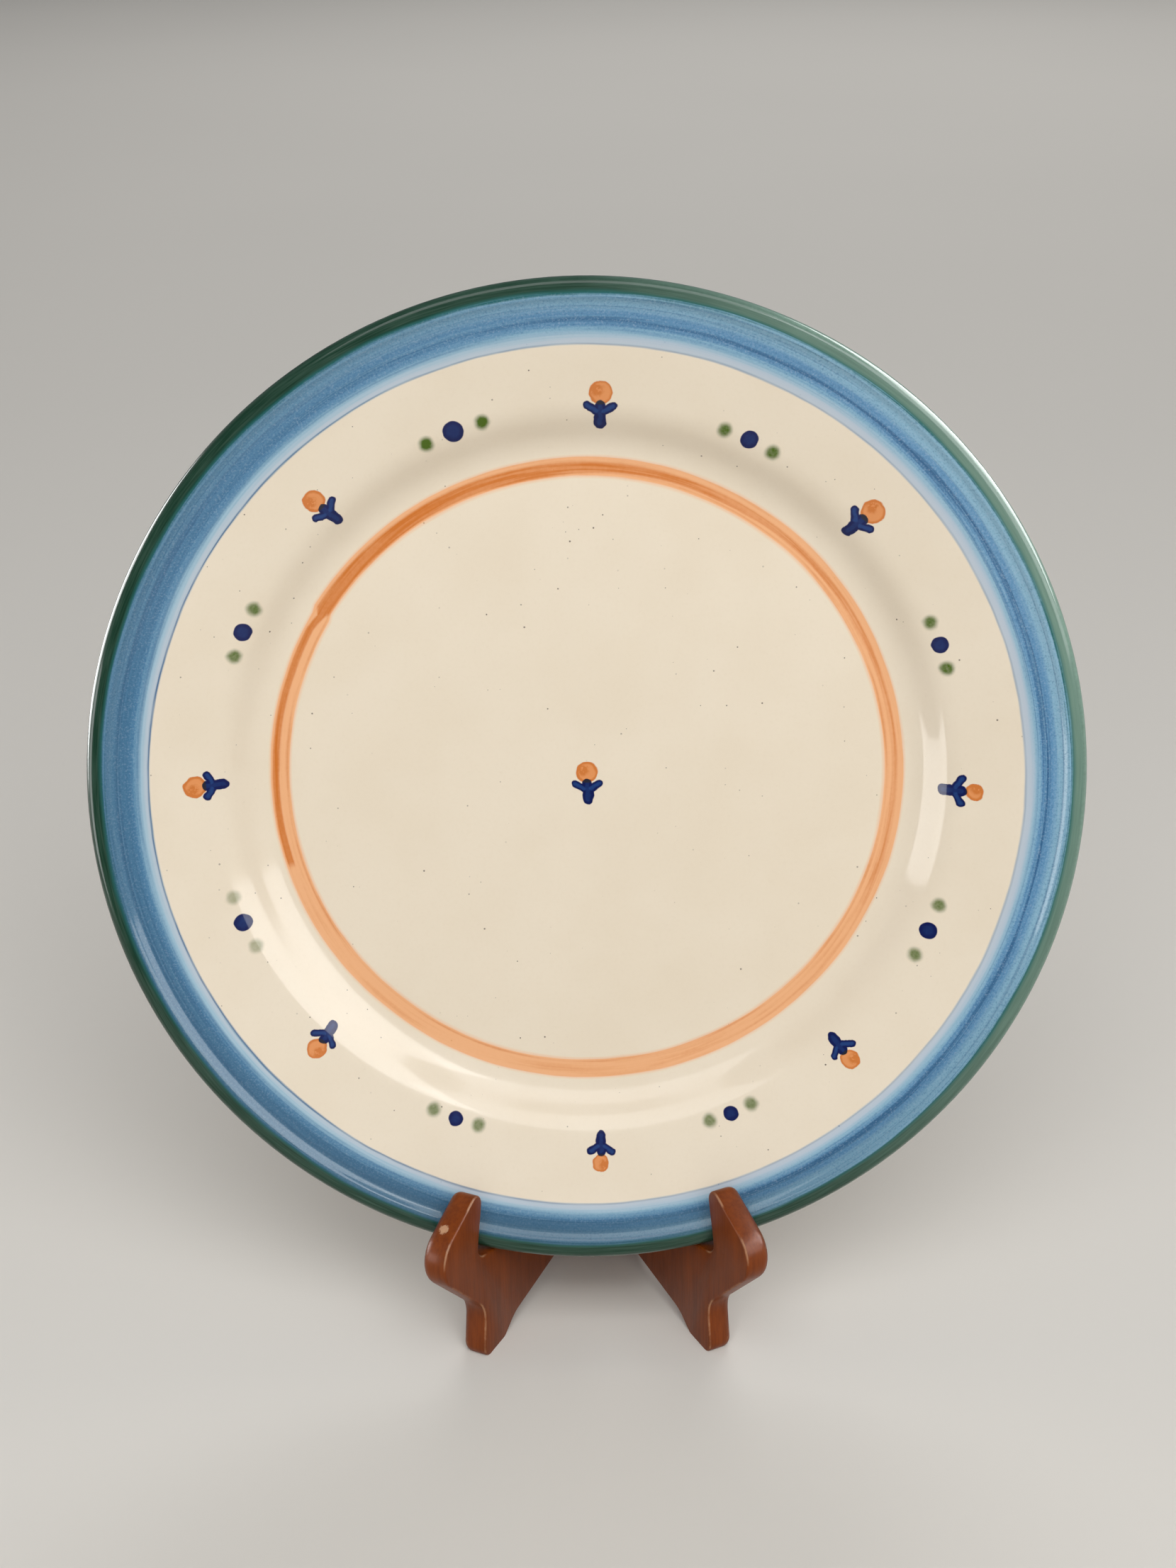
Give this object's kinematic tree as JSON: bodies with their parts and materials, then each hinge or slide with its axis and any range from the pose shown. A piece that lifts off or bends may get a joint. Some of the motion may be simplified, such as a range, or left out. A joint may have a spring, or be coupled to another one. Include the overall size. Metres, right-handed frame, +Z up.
{
  "type": "decorative plate",
  "caption": "Round painted stoneware plate with a wide rim, standing upright on a folding wooden plate stand of two hinged boards.",
  "frame": {"origin": "middle of the footprint, on the table under the stand", "axes": "+Z up, +X to the right seen from the front, the plate's painted face looks towards -Y"},
  "size_m": [0.28, 0.1042, 0.3014],
  "materials": {
    "glazed_stoneware": "glossy cream glaze with painted flowers, an orange ring, a blue band and a green lip",
    "lacquered_wood": "dark red-brown lacquer, satin, worn pale along the edges",
    "hinge_brass": "aged, satin"
  },
  "bodies": {
    "stand": {"left_board": "lacquered_wood", "lower_hinge_left_leaf": "hinge_brass", "lower_hinge_pin": "hinge_brass", "upper_hinge_left_leaf": "hinge_brass", "upper_hinge_pin": "hinge_brass", "left_hinge_screws": "hinge_brass"},
    "swinging_board": {"right_board": "lacquered_wood", "lower_hinge_right_leaf": "hinge_brass", "upper_hinge_right_leaf": "hinge_brass", "right_hinge_screws": "hinge_brass"},
    "plate": {"plate": "glazed_stoneware"}
  },
  "joints": [
    {"name": "stand_fold", "type": "hinge", "parent": "stand", "child": "swinging_board", "pos_m": [0, 0.02288, 0], "axis": [0, -0.1045, -0.9945], "range_deg": [0, 56]},
    {"name": "plate_lift", "type": "slide", "parent": "stand", "child": "plate", "axis": [0, 0.1994, 0.9799], "range_m": [0, 0.3]}
  ],
  "couplings": [
    {"joint": "stand_fold", "follows": "plate_lift", "rad_per_m": 3.2578}
  ]
}
